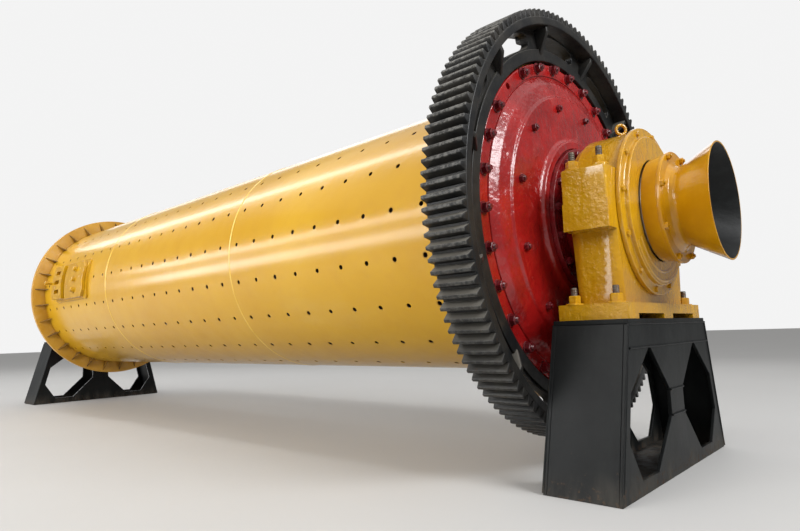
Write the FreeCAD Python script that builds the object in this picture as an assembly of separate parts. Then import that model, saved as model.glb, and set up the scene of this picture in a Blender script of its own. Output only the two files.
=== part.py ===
import FreeCAD, Part
import math
import os

# Ball mill: a welded drum with a girth gear, carried by two hollow trunnions in split bearings
# on fabricated stands. Millimetres. X runs along the drum towards the discharge end, Z is up,
# and the origin lies on the ground under the drum axis, midway between the two stands.
# Round pieces are drawn as (x, radius) profiles about the drum axis.

# ---- overall ----
shell_inner_radius = 915.0
course_lengths = [2500.0, 2500.0, 2000.0]   # shell courses, from the discharge end
discharge_overhang = 368.0      # face of the discharge head flange to the stand centre
feed_overhang = 622.0           # the same at the feed end
ground_clearance = 140.0        # gear teeth above the ground

# ---- shell ----
shell_wall = 16.0
weld_gap = 0.2                  # fit-up gap of welded rings
hole_rows = 19
hole_pitch = 245.0
hole_end_margin = 150.0         # least distance from an end of the shell to the first hole
hole_radius = 16.0
hole_row_phase = 5.6            # degrees, first row, from the -Y side upwards
drilled_rows = [1, hole_rows - 1]   # rows with holes drilled here, the two beside the first row
drilled_step = 5                # every fifth hole of those rows: the rest repeat them

# ---- end flanges of the shell ----
flange_thickness = 50.0
gusset_count = 30
gusset_phase = 3.3
gusset_length = 120.0
gusset_height = 122.0
gusset_thickness = 12.0
gusset_margin = 29.0            # flange left outside the gussets

# ---- girth gear ----
gear_module = 20.0
gear_width = 250.0
gear_rim_depth = 50.0           # rim metal under the tooth roots
gear_web_height = 120.0         # from the bolting ring out to the rim
gear_web_thickness = 50.0
gear_clearance = 12.0           # radial gap between head flange and gear ring
gear_bolting_ring = 73.0        # radial width of the inner bolting ring
gear_ring_thickness = 64.0
pressure_angle = 20.0
rib_count = 12
rib_phase = 14.5
rib_thickness = 32.0
rib_set_back = 14.0             # ribs stop short of the rim faces
rib_foot = 36.5                 # depth of a rib's ends on the rim and on the bolting ring
window_half_angle = 9.3
window_corner = 34.0
window_margin = 8.0             # web left inside and outside each window

# ---- heads ----
head_flange_width = 109.0       # outside the shell
head_flange_thickness = 50.0
head_spigot_gap = 12.0          # head plate inside the shell wall
head_wall = 50.0
head_groove_inset = 78.0        # from the edge of the flange
head_groove_width = 9.0
head_groove_depth = 9.0
head_step_inset = 97.0          # from the inside of the shell
head_rise = 50.0                # cone height from the flange face to the step
head_cone_bulge = 18.0
head_step = 12.0
head_plate_rise = 8.0           # from the step in to the hub
head_chamfer = 26.0             # run of the slopes beside the step and the hub
hub_width = 166.0               # outside the root of the trunnion neck
hub_ring_width = 46.0
hub_height = 28.0
hub_recess = 14.0

# ---- trunnions ----
trunnion_bore_radius = 210.0
journal_wall = 80.0
spigot_shoulder = 35.0          # spigot above the journal
trunnion_flange_gap = 7.0       # between the trunnion flange and the hub ring
trunnion_flange_thickness = 40.0
neck_shoulder = 22.0            # neck above the journal
neck_root_flare = 40.0

# ---- bearings ----
running_clearance = 0.05        # radial, journal in bush
bush_wall = 42.0
bush_fit = 0.1                  # radial, bush in housing
bush_end_gap = 10.0             # between the bush ends and the covers
housing_length = 254.0          # along X
housing_depth = 188.0           # domed cap above the journal
housing_cheek = 22.0            # base body wider than the dome, each side
housing_wall = 60.0
bearing_height = 545.0          # drum axis above the top of the base plate
ear_reach = 102.0               # beyond the base body
ear_height = 190.0
ear_depth = 150.0
base_set_in = 10.0              # base plate inside the ears, and inside the stand top
base_thickness = 84.0
base_channel_height = 28.0
base_outer_foot = 132.0
base_middle_foot = 150.0
cover_rim = 18.0                # outer cover beyond the dome
cover_flange_thickness = 26.0
cover_step = 58.0               # radial, from the cover's rim in to its boss
cover_boss_thickness = 26.0
seal_gap = 8.0                  # radial, covers round the turning trunnion
inner_cover_inset = 23.0        # inner cover inside the dome
inner_cover_thickness = 36.0
eye_ring_radius = 30.0
eye_bar_radius = 9.0
eye_shank = 34.0
eye_collar_radius = 21.6
eye_sink = 4.0                  # eye ring set into its shank

# ---- collar and trumpet ----
collar_gap = 8.0                # axial, between the fixed cover and the turning collar
collar_length = 92.0
collar_shoulder = 9.0           # collar's back above the journal
collar_flare = 19.0
trumpet_flange_rim = 5.0        # trumpet flange beyond the collar
trumpet_flange_thickness = 18.0
trumpet_length = 260.0
trumpet_throat_wall = 18.0      # throat outside the trunnion bore
trumpet_throat_at = 54.0
trumpet_root = 34.0             # trumpet above its throat where it leaves the flange
trumpet_throat_land = 16.0
trumpet_flare = 103.0           # mouth above the throat
trumpet_wall = 12.0

# ---- stands ----
stand_length = 400.0            # along X
stand_top_margin = 51.0         # stand top beyond the bearing base, each side
stand_spread = 219.0            # foot beyond the top, each side
stand_plate = 20.0
stand_top_plate = 26.0
stand_bottom_gap = 2.0          # bottom plate inside the side plates
opening_top = 140.0             # apex of the openings below the stand top
opening_bottom = 70.0           # sill above the ground
opening_outer_margin = 66.0     # plate left beside the sloping edge
opening_waist = 110.0           # half width of the web between the two openings

# ---- manhole, on the -Y flank of the feed course ----
manhole_from_end = 1010.0       # centre, from the feed end of the shell
manhole_opening_length = 450.0
manhole_opening_width = 340.0
manhole_corner = 90.0
manhole_frame_width = 470.0
manhole_frame_thickness = 20.0
cover_plate_length = 560.0
cover_plate_width = 430.0
cover_plate_thickness = 36.0
cover_plate_chamfer = 70.0
clamp_length = 300.0
clamp_width = 410.0
clamp_thickness = 58.0
clamp_slot_width = 46.0
clamp_slot_length = 150.0
clamp_slot_pitch = 115.0
manhole_margin = 30.0           # frame left at each end, and half the space between the plates

# ---- worked out ----
past = 1.0                      # how far a cut or a fused piece runs past the face it meets
shell_outer_radius = shell_inner_radius + shell_wall
shell_length = sum(course_lengths)
stand_spacing = shell_length + 2 * head_flange_thickness + discharge_overhang + feed_overhang
head_face_x = stand_spacing / 2 - discharge_overhang
shell_front_x = head_face_x - head_flange_thickness
shell_back_x = shell_front_x - shell_length
holes_per_row = int((shell_length - 2 * hole_end_margin) / hole_pitch) + 1
head_flange_radius = shell_outer_radius + head_flange_width
feed_flange_radius = shell_outer_radius + gusset_height + gusset_margin
gear_bore_radius = head_flange_radius + gear_clearance
gear_ring_radius = gear_bore_radius + gear_bolting_ring
discharge_flange_radius = gear_ring_radius
gear_dedendum = 1.25 * gear_module
gear_teeth = round(2 * (gear_ring_radius + gear_web_height + gear_rim_depth + gear_dedendum)
                   / gear_module)
gear_pitch_radius = gear_module * gear_teeth / 2
gear_tip_radius = gear_pitch_radius + gear_module
gear_root_radius = gear_pitch_radius - gear_dedendum
gear_rim_inner = gear_root_radius - gear_rim_depth
axis_height = gear_tip_radius + ground_clearance
journal_radius = trunnion_bore_radius + journal_wall
spigot_radius = journal_radius + spigot_shoulder
neck_radius = journal_radius + neck_shoulder
neck_root_radius = neck_radius + neck_root_flare
hub_radius = neck_root_radius + hub_width
bush_outer_radius = journal_radius + running_clearance + bush_wall
bore_radius = bush_outer_radius + bush_fit
bush_length = housing_length - 2 * bush_end_gap
housing_radius = journal_radius + housing_depth
housing_half_width = housing_radius + housing_cheek
ear_half_width = housing_half_width + ear_reach
base_half_width = ear_half_width - base_set_in
base_length = stand_length - 2 * base_set_in
cover_radius = housing_radius + cover_rim
cover_boss_radius = cover_radius - cover_step
stand_height = axis_height - bearing_height - base_thickness
stand_top_half_width = base_half_width + stand_top_margin
stand_base_half_width = stand_top_half_width + stand_spread
manhole_x = shell_back_x + manhole_from_end
manhole_frame_length = cover_plate_length + clamp_length + 4 * manhole_margin
plate_seat = shell_outer_radius + weld_gap + manhole_frame_thickness + weld_gap

V = FreeCAD.Vector
AXIS = V(0, 0, axis_height)
ALONG = V(1, 0, 0)


def radial(degrees):
    """Unit vector from the drum axis, 0 towards -Y, 90 straight up."""
    a = math.radians(degrees)
    return V(0, -math.cos(a), math.sin(a))


def face_of(points):
    return Part.Face(Part.makePolygon(points + [points[0]]))


def turned(profile):
    """Solid of revolution about the drum axis from (x, radius) points."""
    return face_of([V(x, 0, axis_height + r) for x, r in profile]).revolve(AXIS, ALONG, 360)


def ring(x0, x1, inner, outer):
    return turned([(x0, inner), (x1, inner), (x1, outer), (x0, outer)])


def rod(x0, x1, radius):
    return Part.makeCylinder(radius, x1 - x0, V(x0, 0, axis_height), ALONG)


def block(x0, x1, y0, y1, z0, z1):
    return Part.makeBox(x1 - x0, y1 - y0, z1 - z0, V(x0, y0, z0))


def prism(points_yz, x0, x1):
    """Outline in the YZ plane (ground heights) pushed along X."""
    return face_of([V(x0, y, z) for y, z in points_yz]).extrude(V(x1 - x0, 0, 0))


def other_end(shape):
    """The same piece at the feed end."""
    return shape.mirror(V(0, 0, 0), ALONG)


def shifted(shape, dx):
    copy = shape.copy()
    copy.translate(V(dx, 0, 0))
    return copy


# ---------------------------------------------------------------- shell

def hole_positions():
    """Places of one row's liner bolt holes along X, centred on the shell."""
    margin = (shell_length - (holes_per_row - 1) * hole_pitch) / 2
    return [shell_front_x - margin - i * hole_pitch for i in range(holes_per_row)]


def hole_drills(x_low, x_high):
    """Drills for twelve sample holes of the liner bolt pattern."""
    tools = []
    for row in drilled_rows:
        out = radial(hole_row_phase + row * 360.0 / hole_rows)
        for x in hole_positions()[::drilled_step]:
            if x_low - hole_radius < x < x_high + hole_radius:
                start = AXIS + V(x, 0, 0) + out * (shell_inner_radius - shell_wall)
                tools.append(Part.makeCylinder(hole_radius, 3 * shell_wall, start, out))
    return Part.makeCompound(tools)


def manhole_prism(length, width, corner, inner, outer):
    """Rounded block through the flank, standing out radially at the manhole's row."""
    body = Part.makeBox(length, width, outer - inner, V(-length / 2, -width / 2, inner))
    if corner > 0:
        upright = [e for e in body.Edges if abs(e.tangentAt(e.FirstParameter).z) > 0.9]
        body = body.makeFillet(corner, upright)
    # the block is drawn standing on +Z: turn it to the row's direction
    body.rotate(V(0, 0, 0), ALONG, 90 - hole_row_phase)
    body.translate(V(manhole_x, 0, axis_height))
    return body


def shell_courses():
    courses = {}
    x_high = shell_front_x
    for name, length in zip(["discharge", "middle", "feed"], course_lengths):
        x_low = x_high - length
        course = ring(x_low, x_high, shell_inner_radius, shell_outer_radius)
        course = course.cut(hole_drills(x_low, x_high))
        if name == "feed":
            course = course.cut(manhole_prism(manhole_opening_length, manhole_opening_width,
                                              manhole_corner, shell_inner_radius / 2,
                                              shell_outer_radius + shell_wall))
        courses["shell_course_" + name] = course
        x_high = x_low
    return courses


def shell_flange(x0, outer):
    return ring(x0, x0 + flange_thickness, shell_outer_radius + weld_gap, outer)


def feed_gussets():
    x0 = shell_back_x + flange_thickness
    foot = shell_outer_radius + weld_gap
    plates = []
    for i in range(gusset_count):
        profile = [V(x0, -gusset_thickness / 2, foot), V(x0 + gusset_length, -gusset_thickness / 2, foot),
                   V(x0, -gusset_thickness / 2, foot + gusset_height)]
        plate = face_of(profile).extrude(V(0, gusset_thickness, 0))
        plate.rotate(V(0, 0, 0), ALONG, 90 - gusset_phase - i * 360.0 / gusset_count)
        plate.translate(AXIS)
        plates.append(plate)
    return Part.makeCompound(plates)


# ---------------------------------------------------------------- girth gear

def tooth_outline():
    """Closed outline of the toothed rim about the origin, as (y, z) points."""
    flank_slope = math.tan(math.radians(pressure_angle))
    half_tooth = math.pi * gear_module / 4
    points = []
    for i in range(gear_teeth):
        centre = 2 * math.pi * i / gear_teeth
        for radius, side in [(gear_root_radius, -1), (gear_pitch_radius, -1), (gear_tip_radius, -1),
                             (gear_tip_radius, 1), (gear_pitch_radius, 1), (gear_root_radius, 1)]:
            half = half_tooth - (radius - gear_pitch_radius) * flank_slope
            a = centre + side * half / radius
            points.append((radius * math.cos(a), radius * math.sin(a)))
    return points


def gear_window(angle, x0, x1):
    inner = gear_ring_radius + window_margin
    outer = gear_rim_inner - window_margin
    blank = ring(x0, x1, inner, outer)
    reach = 2 * outer
    low = radial(angle - window_half_angle) * reach
    high = radial(angle + window_half_angle) * reach
    wedge = face_of([V(x0, 0, axis_height), V(x0, low.y, axis_height + low.z),
                     V(x0, high.y, axis_height + high.z)]).extrude(V(x1 - x0, 0, 0))
    window = blank.common(wedge)
    along = [e for e in window.Edges if abs(e.tangentAt(e.FirstParameter).x) > 0.9]
    return window.makeFillet(min(window_corner, 0.45 * (outer - inner)), along)


def girth_gear():
    web_back = shell_front_x
    middle = web_back + gear_web_thickness / 2
    x0 = middle - gear_width / 2
    x1 = middle + gear_width / 2
    rim = prism([(y, axis_height + z) for y, z in tooth_outline()], x0, x1)
    rim = rim.cut(rod(x0 - past, x1 + past, gear_rim_inner))
    rim_root = gear_rim_inner + past
    web = ring(web_back, web_back + gear_web_thickness, gear_bore_radius, rim_root)
    bolting_ring = ring(web_back, web_back + gear_ring_thickness, gear_bore_radius, gear_ring_radius)
    pieces = [web, bolting_ring]
    # the ribs slope down from the rim to the bolting ring on the front, and to the shell
    # flange on the back
    for i in range(rib_count):
        angle = rib_phase + i * 360.0 / rib_count
        front = [(web_back, gear_ring_radius - rib_foot),
                 (web_back + gear_ring_thickness, gear_ring_radius - rib_foot),
                 (x1 - rib_set_back, gear_rim_inner - rib_foot),
                 (x1 - rib_set_back, rim_root), (web_back, rim_root)]
        back = [(web_back + past, discharge_flange_radius + window_margin),
                (web_back + past, rim_root), (x0 + rib_set_back, rim_root),
                (x0 + rib_set_back, gear_rim_inner - rib_foot)]
        for profile in (front, back):
            rib = face_of([V(x, -rib_thickness / 2, r) for x, r in profile])
            rib = rib.extrude(V(0, rib_thickness, 0))
            rib.rotate(V(0, 0, 0), ALONG, 90 - angle)
            rib.translate(AXIS)
            pieces.append(rib)
    gear = rim.multiFuse(pieces)
    windows = [gear_window(rib_phase + (i + 0.5) * 360.0 / rib_count, x0, x1)
               for i in range(rib_count)]
    return gear.cut(Part.makeCompound(windows)).removeSplitter()


# ---------------------------------------------------------------- heads and trunnions
# Drawn for the discharge end, with s measured outwards from the face of the head flange.

recess_floor = head_rise + head_step + head_plate_rise + hub_height - hub_recess
trunnion_flange_face = recess_floor + trunnion_flange_thickness


def head():
    step_base = head_rise + head_step
    top = step_base + head_plate_rise
    groove = head_flange_radius - head_groove_inset
    cone_foot = groove - head_groove_width
    step_radius = shell_inner_radius - head_step_inset
    hub_foot = hub_radius + head_chamfer
    ring_inner = hub_radius - hub_ring_width
    outer_face = [(-head_flange_thickness, head_flange_radius), (0, head_flange_radius),
                  (0, groove), (-head_groove_depth, groove),
                  (-head_groove_depth, cone_foot), (0, cone_foot),
                  (0.6 * head_rise, (cone_foot + step_radius) / 2 + head_cone_bulge),
                  (head_rise, step_radius), (step_base, step_radius - head_step),
                  (top, hub_foot), (top + head_chamfer / 3, hub_radius + head_chamfer / 3),
                  (top + hub_height, hub_radius),
                  (top + hub_height, ring_inner), (recess_floor, ring_inner),
                  (recess_floor, spigot_radius)]
    inner_face = [(recess_floor - 2 * head_wall, spigot_radius),
                  (recess_floor - 2 * head_wall, hub_foot),
                  (top - head_wall, hub_foot + head_chamfer),
                  (step_base - head_wall, step_radius - head_chamfer),
                  (-head_flange_thickness, shell_inner_radius - head_spigot_gap)]
    return turned([(head_face_x + s, r) for s, r in outer_face + inner_face])


def collar_start(reach):
    """Where the collar begins, from the face of the head flange."""
    return reach + housing_length / 2 + cover_flange_thickness + cover_boss_thickness + collar_gap


def trunnion(reach):
    """Hollow trunnion. reach is the distance from the head flange face to the stand centre."""
    journal_start = reach - housing_length / 2
    journal_end = collar_start(reach)
    spigot = spigot_radius - weld_gap
    flange = hub_radius - hub_ring_width - trunnion_flange_gap
    profile = [(recess_floor - 2 * head_wall, trunnion_bore_radius),
               (recess_floor - 2 * head_wall, spigot), (recess_floor, spigot),
               (recess_floor, flange), (trunnion_flange_face, flange),
               (trunnion_flange_face, neck_root_radius),
               (trunnion_flange_face + neck_root_flare, neck_radius),
               (journal_start, neck_radius), (journal_start, journal_radius),
               (journal_end, journal_radius), (journal_end, trunnion_bore_radius)]
    return turned([(head_face_x + s, r) for s, r in profile])


def collar(reach):
    start = head_face_x + collar_start(reach)
    end = start + collar_length
    back_radius = journal_radius + collar_shoulder
    return turned([(start, trunnion_bore_radius), (start, back_radius),
                   (end, back_radius + collar_flare), (end, trunnion_bore_radius)])


def trumpet(reach):
    start = head_face_x + collar_start(reach) + collar_length
    flange_end = start + trumpet_flange_thickness
    throat = start + trumpet_throat_at
    land = throat + trumpet_throat_land
    end = start + trumpet_length
    flange = journal_radius + collar_shoulder + collar_flare + trumpet_flange_rim
    neck = trunnion_bore_radius + trumpet_throat_wall
    mouth = neck + trumpet_flare
    outer = [(start, flange), (flange_end, flange), (flange_end, neck + trumpet_root),
             ((flange_end + throat) / 2, neck + trumpet_root / 4), (throat, neck), (land, neck),
             (end, mouth)]
    inner = [(end, mouth - trumpet_wall), (land, neck - trumpet_wall),
             (throat, neck - trumpet_wall), (start, trunnion_bore_radius)]
    return turned(outer + inner)


def for_feed_end(shape_of_reach):
    """The same piece of the drum at the feed end, where the head lies further from its stand."""
    return other_end(shifted(shape_of_reach, discharge_overhang - feed_overhang))


# ---------------------------------------------------------------- bearings

def bearing_centre():
    return stand_spacing / 2


def housing_blank(z0, z1):
    """The slab of space between two ground heights, wider than any bearing."""
    reach = 2 * ear_half_width
    return block(bearing_centre() - reach, bearing_centre() + reach, -reach, reach, z0, z1)


def bearing_base():
    c = bearing_centre()
    x0, x1 = c - housing_length / 2, c + housing_length / 2
    b0, b1 = c - base_length / 2, c + base_length / 2
    foot = stand_height
    plate = block(b0, b1, -base_half_width, base_half_width, foot, foot + base_thickness)
    body = block(x0, x1, -housing_half_width, housing_half_width, foot + base_thickness - past,
                 axis_height)
    lugs = block(x0, x1, -ear_half_width, ear_half_width, axis_height - ear_depth, axis_height)
    solid = plate.multiFuse([body, lugs])
    # round bore seat with the core hollow under it, open at the foot
    solid = solid.cut(rod(x0 - past, x1 + past, bore_radius))
    core = block(x0 + housing_wall, x1 - housing_wall, -housing_half_width + housing_wall,
                 housing_half_width - housing_wall, foot - past, axis_height - ear_depth)
    core = core.cut(rod(x0, x1, bore_radius + housing_wall))
    solid = solid.cut(core)
    # channels along X under the base plate, which leave three feet
    for side in (-1, 1):
        near = side * base_middle_foot / 2
        far = side * (base_half_width - base_outer_foot)
        solid = solid.cut(block(b0 - past, b1 + past, min(near, far), max(near, far), foot - past,
                                foot + base_channel_height))
    return solid.removeSplitter()


def bearing_cap():
    c = bearing_centre()
    x0, x1 = c - housing_length / 2, c + housing_length / 2
    dome = rod(x0, x1, housing_radius)
    ears = block(x0, x1, -ear_half_width, ear_half_width, axis_height, axis_height + ear_height)
    cap = dome.fuse(ears).cut(rod(x0 - past, x1 + past, bore_radius))
    cap = cap.common(housing_blank(axis_height, axis_height + 2 * housing_radius))
    return cap.removeSplitter()


def bearing_bush():
    c = bearing_centre()
    return ring(c - bush_length / 2, c + bush_length / 2, journal_radius + running_clearance,
                bush_outer_radius)


def outer_cover():
    x0 = bearing_centre() + housing_length / 2
    x1 = x0 + cover_flange_thickness
    x2 = x1 + cover_boss_thickness
    bore = journal_radius + seal_gap
    return turned([(x0, bore), (x2, bore), (x2, cover_boss_radius), (x1, cover_boss_radius),
                   (x1, cover_radius), (x0, cover_radius)])


def inner_cover():
    x1 = bearing_centre() - housing_length / 2
    x0 = x1 - inner_cover_thickness
    return ring(x0, x1, neck_radius + seal_gap, housing_radius - inner_cover_inset)


def cap_eyebolt():
    c = bearing_centre()
    seat = axis_height + housing_radius
    shank = Part.makeCylinder(eye_bar_radius, eye_shank, V(c, 0, seat), V(0, 0, 1))
    collar_disc = Part.makeCylinder(eye_collar_radius, eye_bar_radius, V(c, 0, seat), V(0, 0, 1))
    eye_height = seat + eye_shank + eye_ring_radius - eye_sink
    eye = Part.makeTorus(eye_ring_radius, eye_bar_radius, V(c, 0, eye_height), V(0, 1, 0))
    return shank.multiFuse([collar_disc, eye])


# ---------------------------------------------------------------- stands

def half_width_at(z):
    """Half width of the stand's trapezoid at a height."""
    share = z / stand_height
    return stand_base_half_width + (stand_top_half_width - stand_base_half_width) * share


def opening_outline(side):
    """One pointed opening of a stand plate: side is -1 or 1."""
    top = stand_height - opening_top
    span = top - opening_bottom
    outer_low = opening_bottom + span * 0.30
    outer_high = opening_bottom + span * 0.655
    inner_low = opening_bottom + span * 0.39
    inner_high = opening_bottom + span * 0.61
    low_edge = half_width_at(outer_low) - opening_outer_margin
    high_edge = half_width_at(outer_high) - opening_outer_margin
    reach = low_edge - opening_waist
    points = [(opening_waist + reach * 0.43, top), (opening_waist, inner_high),
              (opening_waist, inner_low), (opening_waist + reach * 0.42, opening_bottom),
              (opening_waist + reach * 0.79, opening_bottom), (low_edge, outer_low),
              (high_edge, outer_high)]
    return [(side * y, z) for y, z in points]


def stand_face_plate(x0):
    top = stand_height - stand_top_plate
    outline = [(-half_width_at(0), 0), (half_width_at(0), 0), (half_width_at(top), top),
               (-half_width_at(top), top)]
    plate = prism(outline, x0, x0 + stand_plate)
    for side in (-1, 1):
        plate = plate.cut(prism(opening_outline(side), x0 - past, x0 + stand_plate + past))
    return plate


def stand_side_plates():
    x0 = bearing_centre() - stand_length / 2 + stand_plate
    x1 = bearing_centre() + stand_length / 2 - stand_plate
    top = stand_height - stand_top_plate
    plates = []
    for side in (-1, 1):
        outline = [(side * half_width_at(0), 0), (side * half_width_at(top), top),
                   (side * (half_width_at(top) - stand_plate), top),
                   (side * (half_width_at(0) - stand_plate), 0)]
        plates.append(prism(outline, x0, x1))
    return Part.makeCompound(plates)


def stand_top():
    c = bearing_centre()
    return block(c - stand_length / 2, c + stand_length / 2, -stand_top_half_width,
                 stand_top_half_width, stand_height - stand_top_plate, stand_height)


def stand_bottom():
    x0 = bearing_centre() - stand_length / 2 + stand_plate
    x1 = bearing_centre() + stand_length / 2 - stand_plate
    inside = half_width_at(stand_plate) - stand_plate - stand_bottom_gap
    return block(x0, x1, -inside, inside, 0, stand_plate)


# ---------------------------------------------------------------- manhole

def curved_plate(length, width, corner, inner, thickness):
    """Plate bent to the shell, centred on the manhole's row."""
    blank = manhole_prism(length, width, corner, inner / 2, inner + 4 * thickness)
    return blank.common(ring(manhole_x - length, manhole_x + length, inner, inner + thickness))


def manhole_frame():
    frame = curved_plate(manhole_frame_length, manhole_frame_width, manhole_corner / 2,
                         shell_outer_radius + weld_gap, manhole_frame_thickness)
    return frame.cut(manhole_prism(manhole_opening_length, manhole_opening_width, manhole_corner,
                                   shell_inner_radius / 2, 2 * shell_outer_radius))


def manhole_cover():
    """Bent door plate on the frame, its corners cut on the side away from the clamp."""
    plate = curved_plate(cover_plate_length, cover_plate_width, 0, plate_seat, cover_plate_thickness)
    shift = (manhole_frame_length - cover_plate_length) / 2 - manhole_margin
    plate = shifted(plate, shift)
    end = manhole_x + shift + cover_plate_length / 2
    for side in (-1, 1):
        edge = side * cover_plate_width / 2
        corner = face_of([V(end + past, edge + side, 0), V(end - cover_plate_chamfer, edge + side, 0),
                          V(end + past, edge - side * cover_plate_chamfer, 0)])
        corner = corner.extrude(V(0, 0, 2 * shell_outer_radius))
        corner.rotate(V(0, 0, 0), ALONG, 90 - hole_row_phase)
        corner.translate(AXIS)
        plate = plate.cut(corner)
    return plate


def manhole_clamp():
    """Slotted clamp plate beside the door."""
    plate = curved_plate(clamp_length, clamp_width, 0, plate_seat, clamp_thickness)
    shift = -(manhole_frame_length - clamp_length) / 2 + manhole_margin
    plate = shifted(plate, shift)
    for i in (-1, 0, 1):
        slot = Part.makeBox(clamp_slot_length, clamp_slot_width, 2 * shell_outer_radius,
                            V(-clamp_slot_length / 2, i * clamp_slot_pitch - clamp_slot_width / 2, 0))
        slot.rotate(V(0, 0, 0), ALONG, 90 - hole_row_phase)
        slot.translate(V(manhole_x + shift, 0, axis_height))
        plate = plate.cut(slot)
    return plate


# ---------------------------------------------------------------- write the pieces

def all_pieces():
    pieces = shell_courses()
    pieces["shell_flange_discharge"] = shell_flange(shell_front_x - flange_thickness,
                                                    discharge_flange_radius)
    pieces["shell_flange_feed"] = shell_flange(shell_back_x, feed_flange_radius)
    pieces["feed_flange_gussets"] = feed_gussets()
    pieces["girth_gear"] = girth_gear()
    pieces["manhole_frame"] = manhole_frame()
    pieces["manhole_cover"] = manhole_cover()
    pieces["manhole_clamp"] = manhole_clamp()

    pieces["discharge_head"] = head()
    pieces["discharge_trunnion"] = trunnion(discharge_overhang)
    pieces["discharge_collar"] = collar(discharge_overhang)
    pieces["discharge_trumpet"] = trumpet(discharge_overhang)
    pieces["feed_head"] = for_feed_end(head())
    pieces["feed_trunnion"] = for_feed_end(trunnion(feed_overhang))
    pieces["feed_collar"] = for_feed_end(collar(feed_overhang))
    pieces["feed_trumpet"] = for_feed_end(trumpet(feed_overhang))

    inner_x = bearing_centre() - stand_length / 2
    outer_x = bearing_centre() + stand_length / 2 - stand_plate
    fixed = {
        "stand_inner_plate": stand_face_plate(inner_x),
        "stand_outer_plate": stand_face_plate(outer_x),
        "stand_side_plates": stand_side_plates(),
        "stand_top_plate": stand_top(),
        "stand_bottom_plate": stand_bottom(),
        "bearing_base": bearing_base(),
        "bearing_cap": bearing_cap(),
        "bearing_bush": bearing_bush(),
        "bearing_outer_cover": outer_cover(),
        "bearing_inner_cover": inner_cover(),
        "cap_eyebolt": cap_eyebolt(),
    }
    for name, shape in fixed.items():
        pieces["discharge_" + name] = shape
        pieces["feed_" + name] = other_end(shape)
    return pieces


os.makedirs("parts", exist_ok=True)
for name, shape in all_pieces().items():
    shape.exportStep("parts/" + name + ".step")
    print(name, len(shape.Solids), round(shape.Volume / 1e9, 5), shape.isValid())
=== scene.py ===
import math

import bmesh
import bpy
from mathutils import Matrix, Vector


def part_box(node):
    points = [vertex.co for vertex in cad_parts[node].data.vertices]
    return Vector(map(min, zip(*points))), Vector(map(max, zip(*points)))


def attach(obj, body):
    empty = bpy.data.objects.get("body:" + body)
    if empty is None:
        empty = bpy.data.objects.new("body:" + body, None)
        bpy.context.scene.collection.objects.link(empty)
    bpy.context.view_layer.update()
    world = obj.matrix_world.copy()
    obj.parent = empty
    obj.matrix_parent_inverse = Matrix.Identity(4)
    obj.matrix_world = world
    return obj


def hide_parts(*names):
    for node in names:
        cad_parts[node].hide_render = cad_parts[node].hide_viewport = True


# Ball mill: a drilled barrel with heads, gear and trumpets that turns in two bearings on stands.
# Metres, X along the drum axis towards the discharge end, Z up from the ground.
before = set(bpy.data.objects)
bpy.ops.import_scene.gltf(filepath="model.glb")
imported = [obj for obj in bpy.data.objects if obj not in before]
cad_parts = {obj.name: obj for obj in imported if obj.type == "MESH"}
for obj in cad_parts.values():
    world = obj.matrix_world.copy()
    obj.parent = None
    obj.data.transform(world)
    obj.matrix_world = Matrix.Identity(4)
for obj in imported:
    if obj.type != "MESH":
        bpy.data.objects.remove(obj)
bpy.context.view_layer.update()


# ================================================================ barrel
# Mild steel plate rolled into three courses and welded end to end, drilled with rows of holes
# for the liner bolts. Sprayed inside the workshop with ochre gloss paint, which pools round the
# holes and leaves their bores dark.

shell_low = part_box("shell_course_feed")[0]
shell_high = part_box("shell_course_discharge")[1]
axis_height = (shell_low.z + shell_high.z) / 2
shell_radius = (shell_high.z - shell_low.z) / 2
shell_wall = 0.016
hole_rows = 19
holes_per_row = 28
hole_pitch = 0.245
hole_radius = 0.016
hole_phase = math.radians(5.6)
row_arc = 2 * math.pi * shell_radius / hole_rows
end_margin = (shell_high.x - shell_low.x - (holes_per_row - 1) * hole_pitch) / 2
manhole_low, manhole_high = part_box("manhole_frame")


class Signal:
    """One output socket of a node tree. Arithmetic on it adds Math nodes to that tree."""

    def __init__(self, wiring, node, output):
        self.wiring, self.node, self.socket = wiring, node, node.outputs[output]

    def __getitem__(self, output):
        return Signal(self.wiring, self.node, output)

    def math(self, operation, *others):
        return self.wiring.node("ShaderNodeMath", dict(enumerate((self,) + others)),
                                operation=operation)

    def __add__(self, other):
        return self.math("ADD", other)

    def __sub__(self, other):
        return self.math("SUBTRACT", other)

    def __rsub__(self, other):
        return (self - other) * -1.0

    def __mul__(self, other):
        return self.math("MULTIPLY", other)

    def __truediv__(self, other):
        return self.math("DIVIDE", other)

    __radd__ = __add__
    __rmul__ = __mul__

    def off_centre(self):
        """Signed distance to the nearest whole number."""
        return self - self.math("ROUND")

    def ramp(self, low, high):
        """0 below low and 1 above high, with a soft change between."""
        return self.wiring.node("ShaderNodeMapRange", {0: self, 1: low, 2: high},
                                interpolation_type="SMOOTHSTEP")


class Wiring:
    """A node tree under construction."""

    def __init__(self, tree):
        self.tree = tree

    def node(self, kind, inputs=None, output=0, **settings):
        made = self.tree.nodes.new(kind)
        for key, value in settings.items():
            setattr(made, key, value)
        for key, value in (inputs or {}).items():
            if isinstance(value, Signal):
                self.tree.links.new(value.socket, made.inputs[key])
            else:
                made.inputs[key].default_value = value
        return Signal(self, made, output)


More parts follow.
